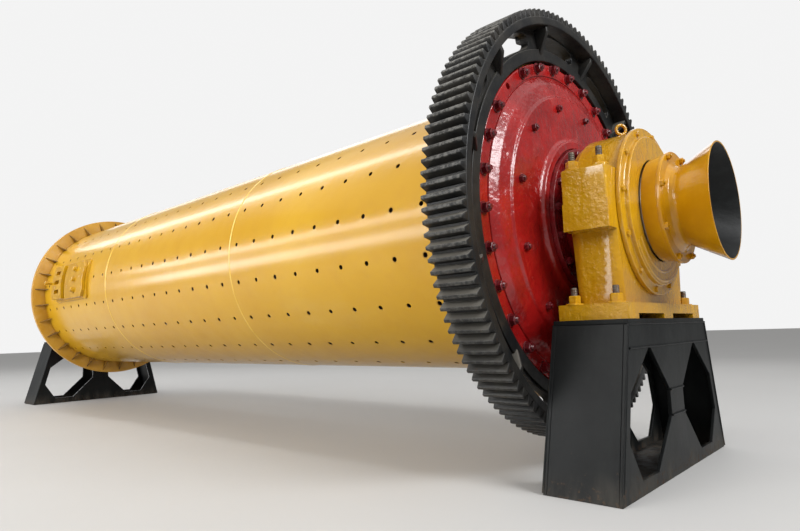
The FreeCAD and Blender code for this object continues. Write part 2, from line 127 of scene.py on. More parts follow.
class Finish(Wiring):
    """A material: its Principled shader plus the patterns that feed it."""

    def __init__(self, name, **sheen):
        self.material = bpy.data.materials.new(name)
        self.material.use_nodes = True
        super().__init__(self.material.node_tree)
        self.shader = self.tree.nodes["Principled BSDF"]
        for key, value in sheen.items():
            socket = key.replace("_", " ").title().replace("Ior", "IOR")
            self.shader.inputs[socket].default_value = value
        self.place = self.node("ShaderNodeTexCoord")["Object"]

    def noise(self, scale, detail=2.0, roughness=0.5, stretch=None):
        """Cloudy noise, stretched into streaks where a scale is given for each axis."""
        place = self.place
        if stretch:
            place = self.node("ShaderNodeMapping", {"Vector": place, "Scale": stretch})
        return self.node("ShaderNodeTexNoise", {"Vector": place, "Scale": scale, "Detail": detail,
                                                "Roughness": roughness}, "Fac")

    def parts(self):
        return self.node("ShaderNodeSeparateXYZ", {0: self.place})

    def coat(self, share, tones, layers, roughness, *relief):
        """The finished material: two tones mixed by a share, layers of (share, colour) over
        them, a roughness, and stacked bumps of (height, distance in metres)."""
        colour, *over = tones
        for share, tone in [(share, over[0])] + layers:
            first, second = (paint if isinstance(paint, Signal) else (*paint, 1.0)
                             for paint in (colour, tone))
            colour = self.node("ShaderNodeMix", {0: share, 6: first, 7: second}, 2, data_type="RGBA")
        signals = {"Base Color": colour}
        if roughness:
            signals["Roughness"] = roughness
        for height, distance in relief:
            inputs = {"Height": height, "Distance": distance, "Strength": 1.0}
            if "Normal" in signals:
                inputs["Normal"] = signals["Normal"]
            signals["Normal"] = self.node("ShaderNodeBump", inputs)
        for socket, signal in signals.items():
            self.tree.links.new(signal.socket, self.shader.inputs[socket])
        return self.material


def around_axis(finish):
    """The place on the drum as (x, angle from the -Y side upwards, distance from the axis)."""
    parts = finish.parts()
    side, up = parts["Y"] * -1.0, parts["Z"] - axis_height
    return parts["X"], up.math("ARCTAN2", side), (side * side + up * up).math("SQRT")


def barrel_paint():
    finish = Finish("ochre_paint_on_plate", specular_ior_level=0.25, coat_weight=0.6,
                    coat_roughness=0.16)
    x, angle, radius = around_axis(finish)
    across = (angle - hole_phase) * (hole_rows / (2 * math.pi))
    along = (x - (shell_low.x + end_margin)) / hole_pitch
    beside, ahead = across.off_centre() * row_arc, along.off_centre() * hole_pitch
    near = (ahead * ahead + beside * beside).math("SQRT")
    cell = finish.node("ShaderNodeCombineXYZ", {0: along.math("ROUND"), 1: across.math("ROUND")})
    chance = finish.node("ShaderNodeTexWhiteNoise", {"Vector": cell}, noise_dimensions="2D")
    smear = finish.noise(34.0, 4.0, 0.65)
    grime = (1.0 - (near + smear * 0.014).ramp(0.021, 0.035)) * chance.ramp(0.35, 0.9)
    cloud, mottle = finish.noise(0.9, 3.0), finish.noise(6.5, 4.0, 0.6)
    dust = finish.noise(2.2, 5.0, 0.62, (0.35, 1.0, 1.0)).ramp(0.52, 0.8)
    bore = 1.0 - radius.ramp(shell_radius - 0.0036, shell_radius - 0.0018)
    return finish.coat(
        cloud.ramp(0.30, 0.72), ((0.500, 0.262, 0.004), (0.560, 0.312, 0.008)),
        [(mottle.ramp(0.45, 0.78) * 0.22, (0.45, 0.215, 0.004)), (dust * 0.20, (0.56, 0.40, 0.14)),
         (grime * 0.55, (0.16, 0.060, 0.008)), (bore, (0.022, 0.014, 0.010))],
        mottle * 0.12 + dust * 0.12 + grime * 0.25 + bore * 0.4 + 0.25,
        (finish.noise(1.35), 0.012), (finish.noise(4.2), 0.0030), (finish.noise(27.0), 0.0005),
        (finish.noise(95.0), 0.00035))


def new_piece(name, mesh):
    piece = bpy.data.objects.new(name, mesh)
    bpy.context.scene.collection.objects.link(piece)
    return piece


def mesh_from(form, name, sharp=math.radians(35), closed=True):
    """A finished mesh: doubles merged, faces outwards, smooth except over sharp edges. An open
    tile keeps the way its faces were wound."""
    bmesh.ops.remove_doubles(form, verts=form.verts, dist=1e-5)
    if closed:
        bmesh.ops.recalc_face_normals(form, faces=form.faces)
    for edge in form.edges:
        edge.smooth = len(edge.link_faces) != 2 or edge.calc_face_angle(0) < sharp
    for face in form.faces:
        face.smooth = True
    mesh = bpy.data.meshes.new(name)
    form.to_mesh(mesh)
    form.free()
    return mesh


def held(piece, body, slot, *nodes):
    """The piece rides on its body and stands in for these CAD nodes, which are hidden; slot is not
    used.
    """
    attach(piece, body)
    if nodes:
        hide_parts(*nodes)
    return piece


def grown(name, tree, seed_mesh=None, **settings):
    """The plain mesh object that a Geometry Nodes tree makes, from a seed mesh if it needs one."""
    seed = new_piece(name + "_seed", seed_mesh or bpy.data.meshes.new("seed"))
    growth = seed.modifiers.new("growth", "NODES")
    growth.node_group = tree
    sockets = {item.name.lower().replace(" ", "_"): item.identifier
               for item in tree.interface.items_tree if item.in_out == "INPUT"}
    for key, value in settings.items():
        growth[sockets[key]] = value
    graph = bpy.context.evaluated_depsgraph_get()
    mesh = bpy.data.meshes.new_from_object(seed.evaluated_get(graph))
    bpy.data.objects.remove(seed)
    return new_piece(name, mesh)


def growth_tree(name, inputs):
    """An empty Geometry Nodes tree with its inputs, as (wiring, source signal)."""
    tree = bpy.data.node_groups.new(name, "GeometryNodeTree")
    tree.interface.new_socket("Geometry", in_out="INPUT", socket_type="NodeSocketGeometry")
    for label, kind in inputs:
        tree.interface.new_socket(label, in_out="INPUT", socket_type="NodeSocket" + kind)
    tree.interface.new_socket("Geometry", in_out="OUTPUT", socket_type="NodeSocketGeometry")
    wiring = Wiring(tree)
    return wiring, wiring.node("NodeGroupInput")


def end_growth(wiring, geometry, material):
    """Closes a tree: the realized geometry gets its material and leaves."""
    painted = wiring.node("GeometryNodeSetMaterial", {"Geometry": geometry, "Material": material})
    wiring.tree.links.new(painted.socket, wiring.tree.nodes.new("NodeGroupOutput").inputs[0])
    return wiring.tree


def pierced_tile(name, length, arc, opening, segments, rings, depth):
    """A flat slab on z = 0 and -depth with one opening in the middle, given as a function of the
    bearing from its centre. Its edges are cut evenly, so that tiles meet corner to corner."""
    along, across = segments
    rim = [(length / 2, arc * (i / across - 0.5)) for i in range(across)]
    rim += [(length * (0.5 - i / along), arc / 2) for i in range(along)]
    rim += [(-length / 2, arc * (0.5 - i / across)) for i in range(across)]
    rim += [(length * (i / along - 0.5), -arc / 2) for i in range(along)]
    form = bmesh.new()

    def loop(share, z, grow=0.0):
        points = []
        for x, y in rim:
            inner = opening(math.atan2(y, x), grow)
            points.append(form.verts.new((inner[0] + (x - inner[0]) * share,
                                          inner[1] + (y - inner[1]) * share, z)))
        return points

    lip = min(0.0016, depth / 6)
    loops = [loop(1.0, -depth), loop(0.0, -depth), loop(0.0, -lip), loop(0.0, 0.0, lip)]
    loops += [loop((i + 1) / rings, 0.0, lip) for i in range(rings)]
    for low, high in zip(loops, loops[1:]):
        for i in range(len(rim)):
            j = (i + 1) % len(rim)
            form.faces.new((low[j], low[i], high[i], high[j]))
    return mesh_from(form, name, closed=False)


def plain_tile(name, length, arc, segments, depth, cap=0):
    """The same slab with no opening. cap closes its -x or +x side."""
    along, across = segments
    form = bmesh.new()

    def point(i, j, z):
        return form.verts.new((length * (i / along - 0.5), arc * (j / across - 0.5), z))

    top = [[point(i, j, 0.0) for j in range(across + 1)] for i in range(along + 1)]
    under = [[point(i, j, -depth) for j in range(across + 1)] for i in range(along + 1)]
    for i in range(along):
        for j in range(across):
            form.faces.new((top[i][j], top[i + 1][j], top[i + 1][j + 1], top[i][j + 1]))
            form.faces.new((under[i][j + 1], under[i + 1][j + 1], under[i + 1][j], under[i][j]))
    if cap:
        side = along if cap > 0 else 0
        for j in range(across):
            edge = (top[side][j], under[side][j], under[side][j + 1], top[side][j + 1])
            form.faces.new(edge if cap > 0 else edge[::-1])
    return mesh_from(form, name, closed=False)


def tile_object(mesh):
    return new_piece(mesh.name + "_tile", mesh)


def rolled_barrel_tree():
    """Tiles set out in rows and columns on the flat, then rolled round the drum axis."""
    wiring, given = growth_tree("rolled_barrel", [
        ("Rows", "Int"), ("Columns", "Int"), ("Pitch", "Float"), ("Radius", "Float"),
        ("First Row", "Float"), ("Axis Height", "Float"), ("Start", "Float"), ("End", "Float"),
        ("Cover Start", "Float"), ("Cover End", "Float"), ("Pierced", "Object"),
        ("Plain", "Object"), ("Start Strip", "Object"), ("End Strip", "Object"),
        ("Paint", "Material")])
    node = wiring.node
    arc = given["Radius"] * (2 * math.pi) / given["Rows"]
    middle = (given["Start"] + given["End"]) * 0.5

    def field(columns, at_x):
        """One point for each tile, rows from zero upwards in y."""
        span_x = given["Pitch"] * (columns - 1)
        rows = given["Rows"]
        grid = node("GeometryNodeMeshGrid", {"Size X": span_x, "Size Y": arc * (rows - 1),
                                             "Vertices X": columns, "Vertices Y": rows})
        shift = node("ShaderNodeCombineXYZ", {0: at_x, 1: arc * (rows - 1) * 0.5})
        return node("GeometryNodeSetPosition", {"Geometry": grid, "Offset": shift})

    def laid(points, tile, chosen=None):
        shape = node("GeometryNodeObjectInfo", {"Object": given[tile]}, "Geometry")
        inputs = {"Points": points, "Instance": shape}
        if chosen:
            inputs["Selection"] = chosen
        return node("GeometryNodeInstanceOnPoints", inputs)

    spot = node("ShaderNodeSeparateXYZ", {0: node("GeometryNodeInputPosition")})
    covered = (spot["X"].math("GREATER_THAN", given["Cover Start"])
               * spot["X"].math("LESS_THAN", given["Cover End"])
               * spot["Y"].math("LESS_THAN", arc * 0.5))
    main = field(given["Columns"], middle)
    strip = (given["End"] - given["Start"] - given["Pitch"] * given["Columns"]) * 0.5
    layers = [laid(main, "Pierced", 1.0 - covered), laid(main, "Plain", covered),
              laid(field(1, given["Start"] + strip * 0.5), "Start Strip"),
              laid(field(1, given["End"] - strip * 0.5), "End Strip")]
    joined = node("GeometryNodeJoinGeometry")
    for layer in layers:
        wiring.tree.links.new(layer.socket, joined.node.inputs[0])
    flat = node("GeometryNodeRealizeInstances", {"Geometry": joined})
    angle = given["First Row"] + spot["Y"] / given["Radius"]
    reach = given["Radius"] + spot["Z"]
    rolled = node("ShaderNodeCombineXYZ", {
        0: spot["X"], 1: angle.math("COSINE") * reach * -1.0,
        2: given["Axis Height"] + angle.math("SINE") * reach})
    bent = node("GeometryNodeSetPosition", {"Geometry": flat, "Position": rolled})
    closed = node("GeometryNodeMergeByDistance", {"Geometry": bent, "Distance": 0.0003})
    return end_growth(wiring, closed, given["Paint"])


def round_hole(bearing, grow):
    reach = hole_radius + grow
    return reach * math.cos(bearing), reach * math.sin(bearing)


ochre_plate = barrel_paint()
tile_cuts = (4, 6)
strip_length = end_margin - hole_pitch / 2
tiles = {
    "pierced": tile_object(pierced_tile("pierced", hole_pitch, row_arc, round_hole, tile_cuts, 3,
                                        shell_wall)),
    "plain": tile_object(plain_tile("plain", hole_pitch, row_arc, tile_cuts, shell_wall)),
    "start_strip": tile_object(plain_tile("start_strip", strip_length, row_arc, (1, 6),
                                          shell_wall, -1)),
    "end_strip": tile_object(plain_tile("end_strip", strip_length, row_arc, (1, 6), shell_wall, 1)),
}
barrel = grown("drilled_barrel", rolled_barrel_tree(), rows=hole_rows, columns=holes_per_row,
               pitch=hole_pitch, radius=shell_radius, first_row=hole_phase, axis_height=axis_height,
               start=shell_low.x, end=shell_high.x, cover_start=manhole_low.x,
               cover_end=manhole_high.x, paint=ochre_plate, **tiles)
for tile in tiles.values():
    bpy.data.objects.remove(tile)
held(barrel, "drum", "yellow_paint",
     "shell_course_discharge", "shell_course_middle", "shell_course_feed")


# ================================================================ seams of the barrel
# Each joint between two courses is one submerged-arc weld run, brushed and painted over. It
# stands a few millimetres proud and catches the light as a thin pale ring; its paint is paler
# than the plate's, a painted highlight along that ring.

seam_radius = 0.0135
seam_sunk = 0.0100
seam_step = 0.012


def bead_tree():
    """A weld run along the edges of the seed mesh, with its ripples."""
    wiring, given = growth_tree("weld_bead", [("Thickness", "Float"), ("Step", "Float"),
                                              ("Ripple", "Float"), ("Paint", "Material")])
    node = wiring.node
    path = node("GeometryNodeMeshToCurve", {"Mesh": given})
    path = node("GeometryNodeResampleCurve", {"Curve": path, "Length": given["Step"]},
                mode="LENGTH")
    wave = node("GeometryNodeInputIndex") * 2.4
    lump = node("ShaderNodeTexNoise", {"Scale": 9.0}, "Fac") - 0.5
    swell = (wave.math("SINE") * 0.5 + lump) * given["Ripple"] + 1.0
    path = node("GeometryNodeSetCurveRadius", {"Curve": path, "Radius": swell})
    section = node("GeometryNodeCurvePrimitiveCircle", {"Resolution": 10,
                                                        "Radius": given["Thickness"]})
    bead = node("GeometryNodeCurveToMesh", {"Curve": path, "Profile Curve": section,
                                            "Fill Caps": True})
    bead = node("GeometryNodeSetShadeSmooth", {"Geometry": bead})
    return end_growth(wiring, bead, given["Paint"])


def path_mesh(name, *paths, ring=False):
    """Edges through each list of points. A ring joins its last point to its first."""
    form = bmesh.new()
    for points in paths:
        corners = [form.verts.new(point) for point in points]
        for first, second in zip(corners, corners[1:] + corners[:1] if ring else corners[1:]):
            form.edges.new((first, second))
    mesh = bpy.data.meshes.new(name)
    form.to_mesh(mesh)
    form.free()
    return mesh


def arc(x, radius, start, end, count):
    """Points round the axis between two bearings in degrees, 0 towards -Y and 90 straight up."""
    bearings = [math.radians(start + (end - start) * i / count) for i in range(count + 1)]
    return [(x, -math.cos(b) * radius, axis_height + math.sin(b) * radius) for b in bearings]


# Paint paler than the plate's: a painted highlight along the bead.
def weld_paint_with_painted_highlight():
    finish = Finish("ochre_paint_on_weld", specular_ior_level=0.4, coat_weight=0.6,
                    coat_roughness=0.12)
    cloud = finish.noise(6.0, 4.0, 0.6)
    return finish.coat(cloud.ramp(0.3, 0.7), ((0.62, 0.37, 0.030), (0.76, 0.52, 0.110)), [],
                       cloud * 0.2 + 0.22, (finish.noise(60.0, 3.0), 0.0012))


bead = bead_tree()
seams = [corner.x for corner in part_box("shell_course_middle")]
seam_paths = path_mesh("seams", *[arc(x, shell_radius - seam_sunk, 0, 360, 180)[:-1]
                                  for x in seams], ring=True)
course_seams = grown("course_seams", bead, seam_paths, thickness=seam_radius, step=seam_step,
                     ripple=0.05, paint=weld_paint_with_painted_highlight())
held(course_seams, "drum", "yellow_paint")


# ================================================================ end flanges and gussets
# Rolled steel rings welded round the ends of the barrel, with a fan of plate gussets behind the
# feed ring. Cut edges are rounded by the thick ochre paint, and the rings carry patches of pale
# dust. The gussets are painted dark all over, a painted shade for the shadows between them.

flange_edge = 0.004
gusset_edge = 0.002


def profile_of(node):
    """The closed outline of a turned piece, as (x, distance from the axis) in order."""
    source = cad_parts[node]
    places, index = [], []
    for vertex in source.data.vertices:
        spot = source.matrix_world @ vertex.co
        here = (spot.x, math.hypot(spot.y, spot.z - axis_height))
        known = next((i for i, place in enumerate(places) if math.dist(place, here) < 4e-4), None)
        if known is None:
            known = len(places)
            places.append(here)
        index.append(known)
    beside = {i: set() for i in range(len(places))}
    for edge in source.data.edges:
        first, second = (index[i] for i in edge.vertices)
        if first != second:
            beside[first].add(second)
            beside[second].add(first)
    walk = [0, min(beside[0])]
    while len(walk) < len(places):
        walk.append(min(beside[walk[-1]] - {walk[-2]}))
    return [places[i] for i in walk]


def rounded(outline, radius, steps=3):
    """The outline with each corner turned into a short arc, no longer than its sides allow."""
    points = []
    for before, corner, after in zip(outline[-1:] + outline[:-1], outline, outline[1:] + outline[:1]):
        corner = Vector(corner)
        to_before, to_after = Vector(before) - corner, Vector(after) - corner
        if abs(math.pi - to_before.angle(to_after)) < math.radians(6):
            points.append(corner)
            continue
        reach = min(radius, to_before.length * 0.4, to_after.length * 0.4)
        start, end = corner + to_before.normalized() * reach, corner + to_after.normalized() * reach
        for i in range(steps + 1):
            t = i / steps
            points.append(start * (1 - t) ** 2 + corner * 2 * t * (1 - t) + end * t ** 2)
    return points


def plain(piece):
    """The piece with its modifiers worked into its mesh."""
    graph = bpy.context.evaluated_depsgraph_get()
    piece.data = bpy.data.meshes.new_from_object(piece.evaluated_get(graph))
    piece.modifiers.clear()
    return piece


def evened(piece):
    """The piece with its shading weighted by face size, so that flat faces stay flat."""
    piece.modifiers.new("even", "WEIGHTED_NORMAL").keep_sharp = True
    return plain(piece)


def turned(name, outline, material, steps=128):
    """A closed piece of revolution about the drum axis from its outline."""
    form = bmesh.new()
    rings = []
    for i in range(steps):
        angle = 2 * math.pi * i / steps
        rings.append([form.verts.new((x, -math.cos(angle) * r, axis_height + math.sin(angle) * r))
                      for x, r in outline])
    for ring, following in zip(rings, rings[1:] + rings[:1]):
        for i in range(len(outline)):
            j = (i + 1) % len(outline)
            form.faces.new((ring[i], ring[j], following[j], following[i]))
    return finished(name, form, material)


def finished(name, form, material):
    """A piece from its form, painted and evenly shaded."""
    piece = new_piece(name, mesh_from(form, name, math.radians(50)))
    piece.data.materials.append(material)
    return evened(piece)


def turned_from(node, name, radius, material, body, slot):
    """A turned CAD piece again, finely faceted and with its edges rounded."""
    return held(turned(name, rounded(profile_of(node), radius), material), body, slot, node)


def form_of(node, flat):
    """A CAD piece's form in place, with its faceted flats joined up."""
    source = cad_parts[node]
    form = bmesh.new()
    form.from_mesh(source.data)
    form.transform(source.matrix_world)
    bmesh.ops.remove_doubles(form, verts=form.verts, dist=2e-5)
    bmesh.ops.dissolve_limit(form, angle_limit=math.radians(flat), verts=form.verts, edges=form.edges)
    return form


def break_edges(form, width, cuts, chosen=lambda edge: True):
    """Rounds those edges of a form that are sharp and chosen."""
    edges = [edge for edge in form.edges
             if len(edge.link_faces) == 2 and edge.calc_face_angle(0) > math.radians(30)
             and chosen(edge)]
    bmesh.ops.bevel(form, geom=edges, offset=width, segments=cuts, profile=0.5, affect="EDGES",
                    clamp_overlap=True)


def softened(node, name, width, material, body, slot, flat=0.6):
    """A cut or cast CAD piece again, with its edges broken to a width."""
    form = form_of(node, flat)
    break_edges(form, width, 2)
    return held(finished(name, form, material), body, slot, node)


def trim_paint():
    finish = Finish("ochre_paint_on_rings", specular_ior_level=0.35, coat_weight=0.15,
                    coat_roughness=0.3)
    cloud = finish.noise(2.1, 4.0, 0.6)
    dust = finish.noise(9.0, 5.0, 0.65).ramp(0.48, 0.78)
    return finish.coat(cloud.ramp(0.3, 0.7), ((0.44, 0.22, 0.018), (0.56, 0.31, 0.040)),
                       [(dust * 0.5, (0.52, 0.33, 0.15))], dust * 0.25 + 0.3,
                       (cloud, 0.002), (finish.noise(70.0, 3.0), 0.0005))


# Both tones are darker than the rings' paint: painted shade for the shadows between the gussets.
def gusset_painted_shade():
    finish = Finish("thin_ochre_on_gussets", specular_ior_level=0.3)
    shade_patches = finish.noise(14.0, 5.0, 0.68)
    return finish.coat(shade_patches.ramp(0.32, 0.66), ((0.30, 0.150, 0.014), (0.085, 0.045, 0.014)), [],
                       shade_patches * 0.2 + 0.45, (shade_patches, 0.001))


ochre_rings = trim_paint()
for end in ("discharge", "feed"):
    turned_from("shell_flange_" + end, end + "_shell_ring", flange_edge, ochre_rings, "drum",
                "yellow_paint")
softened("feed_flange_gussets", "gusset_fan", gusset_edge, gusset_painted_shade(), "drum", "yellow_paint")


# ================================================================ girth gear
# One cast steel ring of 132 straight teeth, with a web pierced by twelve windows and ribbed on
# both sides. Black primer, worn grey on the tooth edges and dusty on everything that faces up;
# the worn grey fades lower down, a painted shade on the lower teeth.

gear_low, gear_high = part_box("girth_gear")
gear_module = 0.020
gear_teeth = 132
tip_radius = gear_high.y
pitch_radius = tip_radius - gear_module
root_radius = pitch_radius - 1.25 * gear_module
rim_inner = root_radius - 0.050
web_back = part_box("shell_course_discharge")[1].x
web_front = web_back + 0.050
bolting_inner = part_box("discharge_head")[1].y + 0.012
bolting_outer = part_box("shell_flange_discharge")[1].y
bolting_front = web_back + 0.064
rib_count = 12
rib_phase = math.radians(14.5)
rib_half = 0.016
rib_foot = 0.0365
rib_set_back = 0.014
window_arc = math.radians(9.3)
window_margin = 0.008
window_power = 3.4
tooth_edge = 0.0022
casting_edge = 0.007
bolting_edge = 0.006
weld_lap = 0.004


def ring_tree():
    """Copies of a piece set round the drum axis, each with its +Z pointing outwards."""
    wiring, given = growth_tree("set_round_the_axis", [
        ("Piece", "Object"), ("Count", "Int"), ("Radius", "Float"), ("Phase", "Float"),
        ("Along", "Float"), ("Axis Height", "Float"), ("Facing", "Float"), ("Roll", "Float"),
        ("Seed", "Int"), ("Missing", "Int"), ("Paint", "Material")])
    node = wiring.node
    points = node("GeometryNodeMeshLine", {"Count": given["Count"]})
    index = node("GeometryNodeInputIndex")
    angle = given["Phase"] + index * (2 * math.pi) / given["Count"]
    place = node("ShaderNodeCombineXYZ", {
        0: given["Along"], 1: angle.math("COSINE") * given["Radius"] * -1.0,
        2: given["Axis Height"] + angle.math("SINE") * given["Radius"]})
    points = node("GeometryNodeSetPosition", {"Geometry": points, "Position": place})
    roll = node("FunctionNodeRandomValue", {2: 0.0, 3: given["Roll"], "Seed": given["Seed"]}, 1)
    stand = (math.pi / 2 - angle + roll) * given["Facing"]
    about = (1.0 - given["Facing"]) * (math.pi / 2)
    turn = node("ShaderNodeCombineXYZ", {0: stand, 2: about})
    shape = node("GeometryNodeObjectInfo", {"Object": given["Piece"]}, "Geometry")
    kept = (index - given["Missing"]).math("ABSOLUTE").math("GREATER_THAN", 0.5)
    copies = node("GeometryNodeInstanceOnPoints", {"Points": points, "Selection": kept,
                                                   "Instance": shape, "Rotation": turn})
    realized = node("GeometryNodeRealizeInstances", {"Geometry": copies})
    return end_growth(wiring, realized, given["Paint"])


def slab(name, outline, thickness, edge, cuts=2):
    """A plate with its (x, z) outline in the middle plane y = 0, its edges broken."""
    form = bmesh.new()
    low = [form.verts.new((x, -thickness / 2, z)) for x, z in outline]
    high = [form.verts.new((x, thickness / 2, z)) for x, z in outline]
    form.faces.new(low)
    form.faces.new(high[::-1])
    for i in range(len(outline)):
        j = (i + 1) % len(outline)
        form.faces.new((low[j], low[i], high[i], high[j]))
    bmesh.ops.recalc_face_normals(form, faces=form.faces)
    bmesh.ops.bevel(form, geom=form.edges[:], offset=edge, segments=cuts, profile=0.5,
                    affect="EDGES", clamp_overlap=True)
    return mesh_from(form, name, math.radians(50))


def tooth():
    """One straight-sided tooth, drawn across (y, z) and nearly as long as the rim is wide."""
    slope = math.tan(math.radians(20))
    half_tooth = math.pi * gear_module / 4
    flank = []
    for radius in (root_radius - 0.006, root_radius, pitch_radius, tip_radius):
        flank.append((half_tooth - (radius - pitch_radius) * slope, radius))
    outline = [(-y, z) for y, z in flank] + flank[::-1]
    mesh = slab("tooth", outline, gear_high.x - gear_low.x - 0.004, tooth_edge)
    for vertex in mesh.vertices:
        vertex.co = (vertex.co.y, -vertex.co.x, vertex.co.z)
    return mesh


def web_window(bearing, grow):
    """The rounded window of the web: half its height, half its arc."""
    high = (rim_inner - bolting_outer) / 2 - window_margin + grow
    wide = window_arc * (rim_inner + bolting_outer) / 2 + grow
    up, along = math.cos(bearing), math.sin(bearing)
    reach = (abs(up / high) ** window_power + abs(along / wide) ** window_power) ** (-1 / window_power)
    return (reach * up, reach * along)


def web_tile():
    """One twelfth of the web with its window, bent round the axis."""
    middle = (rim_inner + bolting_outer) / 2
    arc = 2 * math.pi * middle / rib_count
    mesh = pierced_tile("web", rim_inner - bolting_outer + 0.006, arc, web_window, (6, 16), 2,
                        web_front - web_back)
    for vertex in mesh.vertices:
        radius, angle = middle + vertex.co.x, vertex.co.y / middle
        vertex.co = (vertex.co.z, -radius * math.sin(angle), radius * math.cos(angle))
    return mesh


def gear_primer():
    finish = Finish("black_primer_on_cast_steel", specular_ior_level=0.28)
    height = finish.parts()["Z"]
    radius = around_axis(finish)[2]
    cloud = finish.noise(5.0, 5.0, 0.65)
    grain = finish.noise(46.0, 4.0, 0.7)
    facing = finish.node("ShaderNodeSeparateXYZ", {0: finish.node("ShaderNodeTexCoord")["Normal"]})
    dust = facing["Z"].ramp(0.25, 0.95) * (cloud * 0.5 + 0.45)
    worn = radius.ramp(tip_radius - 0.010, tip_radius - 0.001) * grain.ramp(0.40, 0.62)
    rust = finish.noise(17.0, 4.0, 0.7).ramp(0.62, 0.78) * (1.0 - height.ramp(0.6, 2.0))
    # The worn grey on the tooth tips is scaled by height, so the lower teeth stay darker: painted
    # shade.
    return finish.coat(
        cloud.ramp(0.35, 0.7), ((0.006, 0.0065, 0.007), (0.020, 0.018, 0.015)),
        [(dust * 0.75, (0.215, 0.200, 0.170)),
         (worn * (height.ramp(0.3, 2.4) * 0.6 + 0.15), (0.17, 0.165, 0.150)),
         (rust * 0.35, (0.10, 0.045, 0.020))],
        cloud * 0.22 + dust * 0.3 + 0.30, (finish.noise(11.0, 3.0), 0.004), (grain, 0.0011))


cast_black = gear_primer()
set_round = ring_tree()


def set_of(name, mesh, count, radius, phase, along, material, body, slot, facing=1.0, roll=0.0,
           missing=-1, seed=1):
    """A ring of equal pieces as one mesh, riding on its body."""
    master = tile_object(mesh)
    made = grown(name, set_round, piece=master, count=count, radius=radius, phase=phase,
                 along=along, axis_height=axis_height, facing=facing, roll=roll, seed=seed,
                 missing=missing, paint=material)
    bpy.data.objects.remove(master)
    return held(made, body, slot)


def box_ring(x0, x1, inner, outer, edge):
    return rounded([(x0, inner), (x1, inner), (x1, outer), (x0, outer)], edge)


black_on_drum = (cast_black, "drum", "gear_black")
gear_middle = (gear_low.x + gear_high.x) / 2
rim = box_ring(gear_low.x, gear_high.x, rim_inner, root_radius, casting_edge)
held(turned("gear_rim", rim, cast_black, steps=264), "drum", "gear_black", "girth_gear")
hub = box_ring(web_back, bolting_front, bolting_inner, bolting_outer, bolting_edge)
held(turned("gear_bolting_ring", hub, cast_black), "drum", "gear_black")
set_of("gear_teeth", tooth(), gear_teeth, 0.0, 0.0, gear_middle, *black_on_drum)
set_of("gear_web", web_tile(), rib_count, 0.0, rib_phase + math.pi / rib_count, web_front,
       *black_on_drum)
rib_top, rib_under = rim_inner + weld_lap, rim_inner - rib_foot
rib_front, rib_back = gear_high.x - rib_set_back, gear_low.x + rib_set_back
inside_web = web_front - 0.02
ribs = {
    "front": [(web_back, bolting_outer - rib_foot), (bolting_front, bolting_outer - rib_foot),
              (rib_front, rib_under), (rib_front, rib_top), (web_back, rib_top)],
    "back": [(inside_web, bolting_outer + window_margin), (inside_web, rib_top),
             (rib_back, rib_top), (rib_back, rib_under)],
}
for side, outline in ribs.items():
    set_of(f"gear_{side}_ribs", slab(side + "_rib", outline, 2 * rib_half, casting_edge),
           rib_count, 0.0, rib_phase, 0.0, *black_on_drum)


# ================================================================ fasteners
# Plain hexagon nuts and bolts with washers, painted over with whatever they hold. Thread ends
# stand out by a few turns, and each nut stops at its own angle.


def spool(form, outline, sides):
    """A solid about the X axis from (x, radius) points, with flat ends."""
    loops = []
    for x, radius in outline:
        loops.append([form.verts.new((x, radius * math.cos(2 * math.pi * i / sides),
                                      radius * math.sin(2 * math.pi * i / sides)))
                      for i in range(sides)])
    for low, high in zip(loops, loops[1:]):
        for i in range(sides):
            j = (i + 1) % sides
            form.faces.new((low[i], low[j], high[j], high[i]))
    form.faces.new(loops[0][::-1])
    form.faces.new(loops[-1])


def fastener(name, across, height, thread=0.0, washer=0.0):
    """A nut or bolt head standing on x = 0, with its washer and its thread end."""
    form = bmesh.new()
    corner = across / math.sqrt(3)
    start = 0.0
    if washer:
        start = across * 0.12
        spool(form, [(-0.002, washer), (start * 0.7, washer), (start, washer * 0.97)], 28)
    chamfer = across * 0.06
    spool(form, [(start - 0.001, corner * 0.97), (start + chamfer, corner),
                 (start + height - chamfer, corner), (start + height, corner * 0.88)], 6)
    if thread:
        shank, turns = across * 0.30, 6
        ridges = [(start + height * 0.5, shank)]
        for i in range(turns):
            x = start + height + thread * i / turns
            ridges += [(x, shank), (x + thread / turns / 2, shank * 0.9)]
        spool(form, ridges + [(start + height + thread, shank * 0.84)], 14)
    return mesh_from(form, name, math.radians(28))


# ================================================================ heads
# Cast end covers bolted to the barrel: a flange, a turned groove, a shallow cone, a step and a
# raised hub ring. Red enamel put on thick, glossy and a little lumpy over the casting skin, with
# its bolts painted a darker wine red.

head_edge = 0.010
flange_bolts = 30
flange_bolt_phase = math.radians(-1.6)
flange_bolt_inset = 0.034
lost_bolt = 4
lost_bolt_hole = 0.040
bore_depth = 0.090
hub_bolts = 12
hub_bolt_phase = math.radians(-47)
hub_bolt_radius = 0.735


def face_of(profile, facing, beyond=0.0):
    """How far out along X a turned piece reaches where it is wider than a radius."""
    return max(x * facing for x, r in profile if r > beyond) * facing


def red_enamel(name, light, deep, gloss):
    finish = Finish(name, specular_ior_level=0.35, coat_weight=0.45, coat_roughness=0.26)
    cloud, skin = finish.noise(3.2, 4.0, 0.6), finish.noise(24.0, 3.0, 0.55)
    grime = finish.noise(13.0, 5.0, 0.68).ramp(0.52, 0.8)
    # Pinkish patches are a painted sheen, standing for the broad glossy haze of reflected light.
    painted_sheen = finish.noise(6.0, 4.0, 0.7).ramp(0.55, 0.85)
    soot = (deep[0] * 0.4, deep[1] * 0.6, deep[2] * 0.6)
    return finish.coat(cloud.ramp(0.32, 0.7), (light, deep),
                       [(grime * 0.45, soot), (painted_sheen * 0.30, (0.44, 0.14, 0.12))],
                       painted_sheen * 0.2 + grime * 0.15 + (gloss - 0.05),
                       (finish.noise(6.0, 3.0), 0.018), (skin, 0.0048), (finish.noise(120.0), 0.0004))


